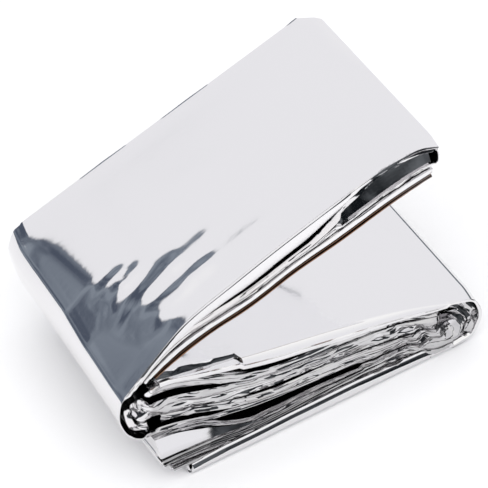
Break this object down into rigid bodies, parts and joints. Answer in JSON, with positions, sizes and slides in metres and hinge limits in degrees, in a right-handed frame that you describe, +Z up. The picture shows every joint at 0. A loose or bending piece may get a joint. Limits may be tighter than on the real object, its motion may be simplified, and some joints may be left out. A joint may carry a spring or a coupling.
{
  "type": "foil blanket",
  "caption": "Silvery emergency foil blanket folded into a soft layered packet, its flaps fanned open in a springy zigzag with rounded folds.",
  "frame": {"origin": "centre of the bounding box at its bottom, where the lowest ply rests", "axes": "+X along the flaps from the springy left fold to the rounded right fold, +Y from the front fold edges to the back, +Z up"},
  "size_m": [0.1194, 0.0882, 0.0774],
  "materials": {
    "metallised_film": "mirror-like metallised plastic film with fine creases"
  },
  "bodies": {
    "root": {"foil_blanket": "metallised_film"}
  },
  "joints": []
}
